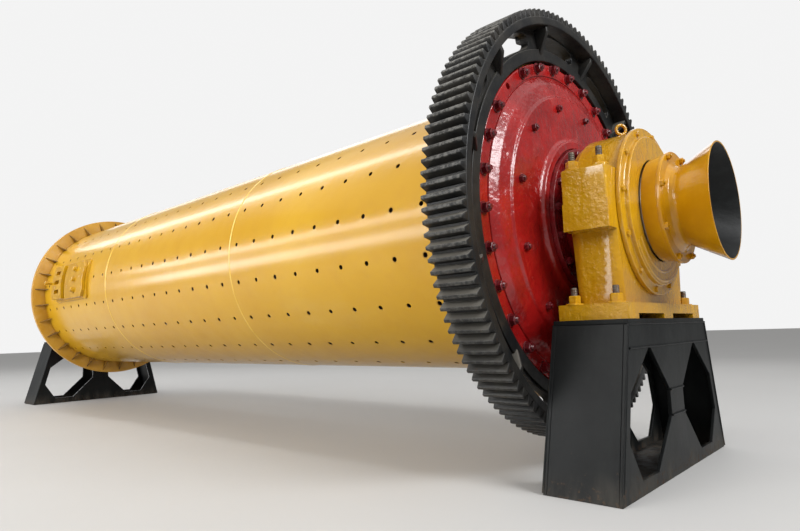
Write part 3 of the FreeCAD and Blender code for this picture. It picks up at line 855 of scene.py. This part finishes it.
def bored(piece, x, radius, angle, size, depth):
    """The piece with a round hole bored along the drum axis, centred on x."""
    form = bmesh.new()
    spool(form, [(x - depth / 2, size / 2), (x + depth / 2, size / 2)], 32)
    cutter = new_piece("drill", mesh_from(form, "drill"))
    cutter.location = (0.0, -math.cos(angle) * radius, axis_height + math.sin(angle) * radius)
    piece.modifiers.new("bore", "BOOLEAN").object = cutter
    form = bmesh.new()
    form.from_mesh(plain(piece).data)
    bpy.data.objects.remove(cutter)
    paint = piece.data.materials[0]
    piece.data = mesh_from(form, piece.name, math.radians(50))
    piece.data.materials.append(paint)
    evened(piece)


head_red = red_enamel("red_enamel_on_casting", (0.33, 0.008, 0.007), (0.20, 0.005, 0.005), 0.24)
bolt_red = red_enamel("wine_red_on_bolts", (0.16, 0.006, 0.010), (0.085, 0.004, 0.007), 0.34)
red_on_drum = (bolt_red, "drum", "red_paint")
big_bolt = {"across": 0.050, "height": 0.030, "thread": 0.016, "washer": 0.036}
small_bolt = {"across": 0.040, "height": 0.022, "thread": 0.010}
ends = (("discharge", 1.0), ("feed", -1.0))
for end, facing in ends:
    head = turned_from(end + "_head", end + "_end_cover", head_edge, head_red, "drum", "red_paint")
    profile = profile_of(end + "_head")
    rim = max(r for x, r in profile)
    face = face_of(profile, facing, rim - 0.002)
    step_face = face_of(profile, facing, hub_bolt_radius - 0.01)
    missing = lost_bolt if end == "discharge" else -1
    set_of(end + "_flange_bolts", fastener("flange_bolt", **big_bolt), flange_bolts,
           rim - flange_bolt_inset, flange_bolt_phase, face, *red_on_drum, facing, 1.0, missing,
           seed=3)
    if missing >= 0:
        bored(head, face, rim - flange_bolt_inset,
              flange_bolt_phase + missing * 2 * math.pi / flange_bolts, lost_bolt_hole, bore_depth)
    set_of(end + "_cone_bolts", fastener("cone_bolt", **small_bolt), hub_bolts, hub_bolt_radius,
           hub_bolt_phase, step_face + 0.002 * facing, *red_on_drum, facing, 1.0, seed=5)


# ================================================================ trunnions
# Hollow cast necks spigoted into the heads and bolted inside the hub ring. Red up to the bearing,
# then a ground journal that runs in the bush, bare and oily.

journal_edge = 0.004
trunnion_bolts = 16
trunnion_bolt_inset = 0.038
trunnion_bolt_phase = math.radians(5)


def oiled_metal(name, film_scale, ring_scale, squeeze, tones, gloss, rough):
    """Machined metal with fine turning rings under a film of oil."""
    finish = Finish(name, metallic=1.0)
    film = finish.noise(*film_scale)
    rings = finish.noise(ring_scale, 3.0, 0.6, (1.0, squeeze, squeeze))
    return finish.coat(film.ramp(0.3, 0.7), tones, [], rings * rough + gloss, (rings, 0.0002))


journal_steel = oiled_metal("oiled_journal_steel", (4.0, 3.0), 90.0, 0.02,
                            ((0.42, 0.40, 0.37), (0.20, 0.17, 0.13)), 0.18, 0.2)
trunnion_red = red_enamel("red_enamel_on_trunnion", (0.22, 0.006, 0.008), (0.11, 0.004, 0.006), 0.28)
for end, facing in ends:
    trunnion = turned_from(end + "_trunnion", end + "_neck", journal_edge, trunnion_red, "drum",
                           "journal_steel")
    trunnion.data.materials.append(journal_steel)
    profile = profile_of(end + "_trunnion")
    flange = max(r for x, r in profile)
    journal_from = max(corner.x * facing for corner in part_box(end + "_bearing_inner_cover"))
    for face in trunnion.data.polygons:
        if face.center.x * facing > journal_from:
            face.material_index = 1
    set_of(end + "_trunnion_bolts", fastener("trunnion_bolt", **small_bolt), trunnion_bolts,
           flange - trunnion_bolt_inset, trunnion_bolt_phase,
           face_of(profile, facing, flange - 0.002), *red_on_drum, facing, 1.0, seed=11)


# ================================================================ bearing housings
# Split castings with a domed cap, square ears and a wide foot, all under one thick coat of ochre
# gloss that has run and pooled over the rough casting skin. Studs hold cap and foot.

cast_edge = 0.012
eye_turn = math.radians(48)
corner_round = 0.052
stud_spread_x = 0.078
anchor_x = 0.115
anchor_y = 0.550
nut_across = 0.060
foot_thickness = 0.084
foot_beyond_body = 0.102
ear_height = 0.190
cap_stud_y = 0.552


def casting_gloss():
    finish = Finish("ochre_gloss_on_casting", specular_ior_level=0.35, coat_weight=0.7,
                    coat_roughness=0.06)
    cloud, lumps = finish.noise(3.0, 4.0, 0.6), finish.noise(11.0, 3.0, 0.6)
    peel = finish.noise(42.0, 3.0, 0.6)
    run = finish.noise(16.0, 3.0, 0.6, (1.0, 1.0, 0.25))
    dust = finish.noise(7.0, 5.0, 0.7).ramp(0.56, 0.82)
    return finish.coat(
        cloud.ramp(0.32, 0.7), ((0.47, 0.228, 0.003), (0.56, 0.300, 0.006)),
        [(lumps.ramp(0.60, 0.80) * 0.3, (0.34, 0.15, 0.004)), (dust * 0.18, (0.52, 0.37, 0.12))],
        dust * 0.22 + cloud * 0.08 + 0.16,
        (finish.noise(5.0), 0.010), (lumps, 0.008), (run, 0.007), (peel, 0.0048))


def grid_tree():
    """Copies of a piece at the corners of a rectangle on each stand, standing up along +Z."""
    wiring, given = growth_tree("set_on_both_stands", [
        ("Piece", "Object"), ("Columns", "Int"), ("Spread X", "Float"), ("Spread Y", "Float"),
        ("Centre X", "Float"), ("Height", "Float"), ("Seed", "Int"), ("Paint", "Material")])
    node = wiring.node
    shape = node("GeometryNodeObjectInfo", {"Object": given["Piece"]}, "Geometry")
    joined = node("GeometryNodeJoinGeometry")
    for side in (1.0, -1.0):
        grid = node("GeometryNodeMeshGrid", {"Size X": given["Spread X"] * 2.0,
                                             "Size Y": given["Spread Y"] * 2.0,
                                             "Vertices X": given["Columns"], "Vertices Y": 2})
        shift = node("ShaderNodeCombineXYZ", {0: given["Centre X"] * side, 2: given["Height"]})
        grid = node("GeometryNodeSetPosition", {"Geometry": grid, "Offset": shift})
        wiring.tree.links.new(grid.socket, joined.node.inputs[0])
    roll = node("FunctionNodeRandomValue", {2: 0.0, 3: 2 * math.pi, "Seed": given["Seed"]}, 1)
    turn = node("ShaderNodeCombineXYZ", {1: -math.pi / 2, 2: roll})
    copies = node("GeometryNodeInstanceOnPoints", {"Points": joined, "Instance": shape,
                                                   "Rotation": turn})
    realized = node("GeometryNodeRealizeInstances", {"Geometry": copies})
    return end_growth(wiring, realized, given["Paint"])


set_on_stands = grid_tree()


def studs(name, mesh, columns, spread_x, spread_y, height, material, slot, seed):
    master = tile_object(mesh)
    made = grown(name, set_on_stands, piece=master, columns=columns, spread_x=spread_x,
                 spread_y=spread_y, centre_x=bearing_x, height=height, seed=seed, paint=material)
    bpy.data.objects.remove(master)
    held(made, "supports", slot)


def thread_end(name, radius, length):
    form = bmesh.new()
    turns = 9
    outline = [(-0.01, radius)]
    for i in range(turns):
        outline += [(length * i / turns, radius), (length * (i + 0.5) / turns, radius * 0.9)]
    spool(form, outline + [(length, radius * 0.88)], 16)
    return mesh_from(form, name, math.radians(28))


def bare_steel():
    finish = Finish("weathered_stud_steel", metallic=0.7)
    spots = finish.noise(60.0, 4.0, 0.7)
    return finish.coat(spots.ramp(0.4, 0.65), ((0.13, 0.12, 0.10), (0.11, 0.055, 0.028)), [],
                       spots * 0.3 + 0.4, (spots, 0.0004))


def cast_half(node, name):
    """One half of a housing: its upright corners well rounded, the rest broken, and the joint
    with the other half left tight."""
    form = form_of(node, 0.6)
    body_side = base_high.y - foot_beyond_body

    def upright(edge):
        low, high = (vertex.co for vertex in edge.verts)
        return (low - high).xy.length < 1e-4 and abs(abs(low.y) - body_side) < 1e-3

    def off_joint(edge):
        return any(abs(vertex.co.z - axis_height) > 1e-4 for vertex in edge.verts)

    break_edges(form, corner_round, 6, upright)
    break_edges(form, cast_edge, 3, off_joint)
    held(finished(name, form, ochre_casting), "supports", "yellow_paint", node)


def lifting_eye(node, name):
    """The eyebolt as it was last screwed down, turned away from the drum axis."""
    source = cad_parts[node]
    low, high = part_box(node)
    centre = Matrix.Translation((low + high) / 2)
    form = bmesh.new()
    form.from_mesh(source.data)
    form.transform(centre @ Matrix.Rotation(eye_turn, 4, "Z") @ centre.inverted()
                   @ source.matrix_world)
    piece = new_piece(name, mesh_from(form, name, math.radians(40)))
    piece.data.materials.append(ochre_casting)
    held(piece, "supports", "yellow_paint", node)


ochre_casting = casting_gloss()
stud_steel = bare_steel()
bush_bronze = oiled_metal("oiled_bush_bronze", (6.0, 4.0, 0.6), 80.0, 0.03,
                          ((0.50, 0.30, 0.13), (0.26, 0.16, 0.08)), 0.25, 0.25)
base_low, base_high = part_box("discharge_bearing_base")
bearing_x = (base_low.x + base_high.x) / 2
for end, facing in ends:
    for half in ("base", "cap"):
        cast_half(end + "_bearing_" + half, end + "_housing_" + half)
    lifting_eye(end + "_cap_eyebolt", end + "_lifting_eye")
    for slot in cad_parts[end + "_bearing_bush"].material_slots:
        slot.material = bush_bronze

foot_top = base_low.z + foot_thickness
ear_top = axis_height + ear_height
studs("anchor_nuts", fastener("anchor_nut", nut_across, 0.042, 0.0, 0.048), 2, anchor_x, anchor_y,
      foot_top, ochre_casting, "yellow_paint", 21)
studs("anchor_stud_ends", thread_end("anchor_stud", 0.018, 0.092), 2, anchor_x, anchor_y, foot_top,
      stud_steel, "journal_steel", 22)
studs("cap_nuts", fastener("cap_nut", nut_across, 0.044, 0.0, 0.046), 2, stud_spread_x, cap_stud_y,
      ear_top, ochre_casting, "yellow_paint", 23)
studs("cap_stud_ends", thread_end("cap_stud", 0.018, 0.104), 2, stud_spread_x, cap_stud_y, ear_top,
      stud_steel, "journal_steel", 24)


# ================================================================ seal covers
# Round cast covers that close both faces of each housing round the turning neck. The outer one
# steps up to a boss, with a low ridge along its lower half, and small screws round its rim.

cover_edge = 0.007
cover_screws = 12
cover_screw_inset = 0.030
cover_screw_phase = math.radians(8)
ridge_inset = 0.024
second_ridge = 3.2
ridge_from, ridge_to = -150, -30
ridge_thickness = 0.009

ochre_on_stand = (ochre_casting, "supports", "yellow_paint")
for end, facing in ends:
    turned_from(end + "_bearing_outer_cover", end + "_seal_cover", cover_edge, *ochre_on_stand)
    turned_from(end + "_bearing_inner_cover", end + "_back_cover", cover_edge, *ochre_on_stand)
    profile = profile_of(end + "_bearing_outer_cover")
    rim = max(r for x, r in profile)
    boss_face = face_of(profile, facing)
    boss = max(r for x, r in profile if abs(x - boss_face) < 0.001)
    set_of(end + "_cover_screws", fastener("cover_screw", 0.030, 0.014), cover_screws,
           rim - cover_screw_inset, cover_screw_phase, face_of(profile, facing, rim - 0.002),
           *ochre_on_stand, facing, 1.0, seed=31)
    ridges = path_mesh("ridges", *[
        arc(boss_face - 0.002 * facing, boss - inset, ridge_from, ridge_to, 60)
        for inset in (ridge_inset, second_ridge * ridge_inset)])
    held(grown(end + "_cover_ridges", bead, ridges, thickness=ridge_thickness, step=0.02,
               ripple=0.03, paint=ochre_casting), "supports", "yellow_paint")


# ================================================================ collars and trumpets
# A turned collar and a rolled trumpet bolted to the end of each neck, and turning with it. Ochre
# outside; inside, the trumpet is coated gloss black and ground smooth by what runs through. A pale
# ring is painted round the lip as a painted reflection.

collar_edge = 0.005
trumpet_edge = 0.004
trumpet_screws = 8
trumpet_screw_inset = 0.018
trumpet_screw_phase = math.radians(18)
trumpet_flange = 0.018


def spout_paint():
    finish = Finish("ochre_gloss_on_spout", specular_ior_level=0.3, coat_weight=0.45,
                    coat_roughness=0.08)
    cloud, dapple = finish.noise(4.0, 4.0, 0.6), finish.noise(19.0, 3.0, 0.6)
    stain = finish.noise(8.0, 5.0, 0.7).ramp(0.58, 0.8)
    return finish.coat(cloud.ramp(0.32, 0.7), ((0.42, 0.185, 0.002), (0.54, 0.270, 0.004)),
                       [(stain * 0.3, (0.28, 0.13, 0.02))], stain * 0.25 + 0.18,
                       (finish.noise(6.0), 0.005), (dapple, 0.0016), (finish.noise(60.0), 0.0005))


def black_lining():
    finish = Finish("gloss_black_lining", specular_ior_level=0.2)
    wear = finish.noise(30.0, 4.0, 0.65)
    scour = finish.noise(11.0, 4.0, 0.6, (0.25, 1.0, 1.0))
    # The pale ring round the lip is a painted reflection of the bright floor and sky, all the way
    # round.
    lip = finish.noise(14.0, 4.0, 0.7) * 0.03 + around_axis(finish)[2]
    pale = lip.ramp(mouth_radius + 0.004, mouth_radius + 0.012)
    return finish.coat(scour.ramp(0.4, 0.7), ((0.003, 0.0035, 0.0035), (0.008, 0.009, 0.009)),
                       [(pale * 0.8, (0.20, 0.20, 0.19))], scour * 0.2 + wear * 0.1 + 0.30,
                       (scour, 0.003), (wear, 0.0006))


mouth_radius = max(r for x, r in profile_of("discharge_trumpet"))
ochre_spout = spout_paint()
lining_black = black_lining()
for end, facing in ends:
    turned_from(end + "_collar", end + "_neck_collar", collar_edge, ochre_spout, "drum",
                "yellow_paint")
    trumpet = turned_from(end + "_trumpet", end + "_spout", trumpet_edge, ochre_spout, "drum",
                          "yellow_paint")
    trumpet.data.materials.append(lining_black)
    for face in trumpet.data.polygons:
        outward = Vector((0, face.center.y, face.center.z - axis_height))
        if face.normal.dot(outward) < 0 and abs(face.normal.x) < 0.9:
            face.material_index = 1
    profile = profile_of(end + "_trumpet")
    inner_end = min(abs(x) for x, r in profile)
    flange = max(r for x, r in profile if abs(x) < inner_end + trumpet_flange + 0.002)
    flange_face = (inner_end + trumpet_flange) * facing
    set_of(end + "_spout_screws", fastener("spout_screw", 0.034, 0.018, 0.008), trumpet_screws,
           flange - trumpet_screw_inset, trumpet_screw_phase, flange_face, ochre_spout, "drum",
           "yellow_paint", facing, 1.0, seed=41)


# ================================================================ stands
# Box pedestals welded up from thick plate, with two pointed openings in each face. Satin black
# paint, brushed thin on the sheared edges, with rust and scuffs near the ground. On the feed
# stand the edges of the openings are pale: bare steel, and a painted highlight along them.

plate_edge = 0.003
fillet_thickness = 0.006
beam_depth = 0.120
step_heights = (0.460, 0.322)
web_half = 0.110
edge_margin = 0.030


def stand_paint():
    finish = Finish("satin_black_on_plate", specular_ior_level=0.15)
    cloud, spots = finish.noise(2.6, 4.0, 0.6), finish.noise(38.0, 4.0, 0.7)
    brush = finish.noise(7.0, 4.0, 0.62, (1.0, 1.0, 0.22))
    low = 1.0 - finish.parts()["Z"].ramp(0.0, 0.16)
    scuff = (spots + low * 0.16).ramp(0.66, 0.80)
    dust = low * brush.ramp(0.35, 0.7)
    return finish.coat(
        cloud.ramp(0.3, 0.7), ((0.0040, 0.0048, 0.0050), (0.009, 0.0100, 0.0100)),
        [(brush.ramp(0.45, 0.75) * 0.40, (0.020, 0.022, 0.021)),
         (scuff * 0.5, (0.10, 0.058, 0.032)), (dust * 0.5, (0.095, 0.085, 0.070))],
        brush * 0.2 + scuff * 0.25 + dust * 0.2 + 0.32,
        (finish.noise(3.0), 0.004), (brush, 0.0015), (spots, 0.0005))


# Pale bare steel for the opening edges, which also serves as a painted highlight.
def cut_edge():
    finish = Finish("bare_flame_cut_edge", specular_ior_level=0.5)
    scale = finish.noise(30.0, 4.0, 0.7)
    return finish.coat(scale.ramp(0.40, 0.62), ((0.36, 0.38, 0.39), (0.06, 0.065, 0.070)), [],
                       scale * 0.3 + 0.4, (scale, 0.001))


def half_width(z):
    """Half the width of a stand's tapering faces at a height."""
    share = (z - foot_low.z) / (low.z - foot_low.z)
    return foot_high.y + (high.y - foot_high.y) * share


stand_black = stand_paint()
bare_edge_and_highlight = cut_edge()
for end, facing in ends:
    for plate in ("inner_plate", "outer_plate", "side_plates", "top_plate", "bottom_plate"):
        softened(end + "_stand_" + plate, end + "_pedestal_" + plate, plate_edge, stand_black,
                 "supports", "stand_black")
    low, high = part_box(end + "_stand_top_plate")
    foot_low, foot_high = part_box(end + "_stand_outer_plate")
    # Pale faces round the feed stand's openings: bare steel and a painted highlight.
    for plate in ("inner_plate", "outer_plate") if end == "feed" else ():
        sheet = bpy.data.objects[end + "_pedestal_" + plate].data
        sheet.materials.append(bare_edge_and_highlight)
        for face in sheet.polygons:
            inside = abs(face.center.y) < half_width(face.center.z) - edge_margin
            if abs(face.normal.x) < 0.8 and inside and edge_margin < face.center.z < low.z:
                face.material_index = 1
    runs = []
    for x, out in ((low.x, -0.002), (high.x, 0.002)):
        beam = low.z - beam_depth
        across = [(half_width(low.z), low.z), (half_width(beam) - 0.02, beam)]
        across += [(web_half, height) for height in step_heights]
        runs += [[(x + out, -half, z), (x + out, half, z)] for half, z in across]
        for side in (-1, 1):
            runs.append([(x, side * half_width(z), z) for z in (0.01, low.z)])
    held(grown(end + "_pedestal_welds", bead, path_mesh("runs", *runs), step=0.010, ripple=0.18,
               thickness=fillet_thickness, paint=stand_black), "supports", "stand_black")


# ================================================================ manhole
# A curved frame welded over a hole in the feed course, with a door plate held by bolts and a
# slotted clamp beside it. The same ochre coat, a little shinier.

door_edge = 0.005
knob_spread = 0.125


def door_paint():
    finish = Finish("ochre_gloss_on_door", specular_ior_level=0.35, coat_weight=0.45,
                    coat_roughness=0.1)
    cloud = finish.noise(5.0, 4.0, 0.6)
    grime = finish.noise(16.0, 4.0, 0.66).ramp(0.55, 0.80)
    return finish.coat(cloud.ramp(0.32, 0.7), ((0.44, 0.22, 0.004), (0.53, 0.29, 0.008)),
                       [(grime * 0.3, (0.26, 0.13, 0.03))], grime * 0.2 + 0.2,
                       (cloud, 0.003), (finish.noise(50.0, 3.0), 0.0004))


ochre_door = door_paint()
for node, name in (("manhole_frame", "manhole_surround"), ("manhole_cover", "manhole_door"),
                   ("manhole_clamp", "manhole_clamp_plate")):
    softened(node, name, door_edge, ochre_door, "drum", "yellow_paint", flat=0.2)
door_low, door_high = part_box("manhole_cover")
clamp_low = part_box("manhole_clamp")[0]
door_x = (door_low.x + door_high.x) / 2


def on_manhole(name, form):
    """A piece drawn about the origin with +Z outwards, placed by its own points on the row."""
    mesh = mesh_from(form, name, math.radians(35))
    mesh.transform(Matrix.Translation((0, 0, axis_height))
                   @ Matrix.Rotation(math.pi / 2 - hole_phase, 4, "X"))
    piece = new_piece(name, mesh)
    piece.data.materials.append(ochre_door)
    held(piece, "drum", "yellow_paint")


def upright(form, x, y, base, outline, sides):
    """A spool standing outwards at (x, y) on the flank, from base upwards."""
    start = len(form.verts)
    spool(form, outline, sides)
    form.verts.ensure_lookup_table()
    for vertex in form.verts[start:]:
        vertex.co = (x + vertex.co.z, y + vertex.co.y, base + vertex.co.x)


knobs = bmesh.new()
door_top = max(math.hypot(v.co.y, v.co.z - axis_height)
               for v in bpy.data.objects["manhole_door"].data.vertices)
for step in (-1, 0, 1):
    upright(knobs, door_x + 0.03, step * knob_spread, door_top - 0.008,
            [(0, 0.042), (0.012, 0.042), (0.012, 0.026), (0.034, 0.026), (0.040, 0.020)], 18)
upright(knobs, clamp_low.x - 0.045, 0.0, shell_radius + 0.016,
        [(0, 0.016), (0.10, 0.016), (0.10, 0.024), (0.13, 0.024), (0.135, 0.018)], 12)
on_manhole("manhole_bolts", knobs)


# ================================================================ workshop floor, light and camera
# A plain pale floor and soft studio light: a long softbox over the near flank draws the streaks
# along the drum, and the rest fills. None of this is part of the machine.


def studio_floor():
    finish = Finish("pale_floor", roughness=0.7)
    return finish.coat(finish.noise(0.8, 3.0), ((0.44, 0.435, 0.425), (0.47, 0.465, 0.455)), [], None)


floor_size = 140.0
floor_form = bmesh.new()
bmesh.ops.create_grid(floor_form, x_segments=1, y_segments=1, size=floor_size / 2)
floor = new_piece("floor", mesh_from(floor_form, "floor", closed=False))
floor.data.materials.append(studio_floor())

# Pale all round, but dimmer as a light source than it looks, so that blacks stay black
world = bpy.data.worlds.new("studio")
bpy.context.scene.world = world
world.use_nodes = True
air = Wiring(world.node_tree)
seen = air.node("ShaderNodeLightPath")
strength = seen * 0.68 + 0.22
world.node_tree.nodes["Background"].inputs["Color"].default_value = (1.0, 1.0, 1.0, 1)
world.node_tree.links.new(strength.socket, world.node_tree.nodes["Background"].inputs["Strength"])


def softbox(name, place, target, size, power, tint=(1.0, 1.0, 1.0)):
    light = bpy.data.lights.new(name, "AREA")
    light.shape = "RECTANGLE"
    light.size, light.size_y = size
    light.energy = power
    light.color = tint
    lamp = bpy.data.objects.new(name, light)
    lamp.location = place
    lamp.rotation_mode = "QUATERNION"
    lamp.rotation_quaternion = (Vector(target) - Vector(place)).to_track_quat("-Z", "Y")
    lamp.visible_camera = False
    bpy.context.scene.collection.objects.link(lamp)


strips = (("window_strip", -7.4, 3.9, 0.6, 300), ("wall_strip", -8.0, 1.9, 1.1, 480),
          ("roof_strip", -1.2, 7.0, 0.5, 230), ("far_strip", 3.6, 6.0, 1.0, 120))
for name, y, z, wide, power in strips:
    softbox(name, (-7.0, y, z), (-7.0, 0.0, axis_height), (17.0, wide), power)
softbox("key_softbox", (2.5, -7.5, 5.5), (1.5, 0.0, 1.3), (6.0, 3.4), 320, (1.0, 0.985, 0.96))
softbox("end_softbox", (10.5, -0.5, 6.0), (4.2, 0.0, 1.5), (4.6, 2.6), 700, (0.97, 0.985, 1.0))
softbox("back_fill", (-2.0, 8.0, 6.0), (0.0, 0.0, 1.5), (12.0, 4.0), 200)

# A very soft overcast from above keeps the floor pale out to its edge
overcast_light = bpy.data.lights.new("overcast", "SUN")
overcast_light.energy = 1.25
overcast_light.angle = math.radians(130)
overcast = bpy.data.objects.new("overcast", overcast_light)
overcast.rotation_euler = (math.radians(14), math.radians(10), 0.0)
bpy.context.scene.collection.objects.link(overcast)

camera_data = bpy.data.cameras.new("camera")
camera_data.lens = 26.39
camera_data.sensor_width = 36.0
camera_data.clip_end = 200.0
camera = bpy.data.objects.new("camera", camera_data)
bpy.context.scene.collection.objects.link(camera)
heading, climb, lean = math.radians(41.95), math.radians(6.58), math.radians(-1.854)
ahead = Vector((-math.sin(heading) * math.cos(climb), math.cos(heading) * math.cos(climb),
                math.sin(climb)))
level_right = Vector((math.cos(heading), math.sin(heading), 0.0))
level_up = level_right.cross(ahead)
right = math.cos(lean) * level_right + math.sin(lean) * level_up
up = math.cos(lean) * level_up - math.sin(lean) * level_right
camera.matrix_world = (Matrix.Translation((5.356, -3.540, axis_height - 0.665))
                       @ Matrix((right, up, -ahead)).transposed().to_4x4())
bpy.context.scene.camera = camera
bpy.context.scene.view_settings.view_transform = "Standard"
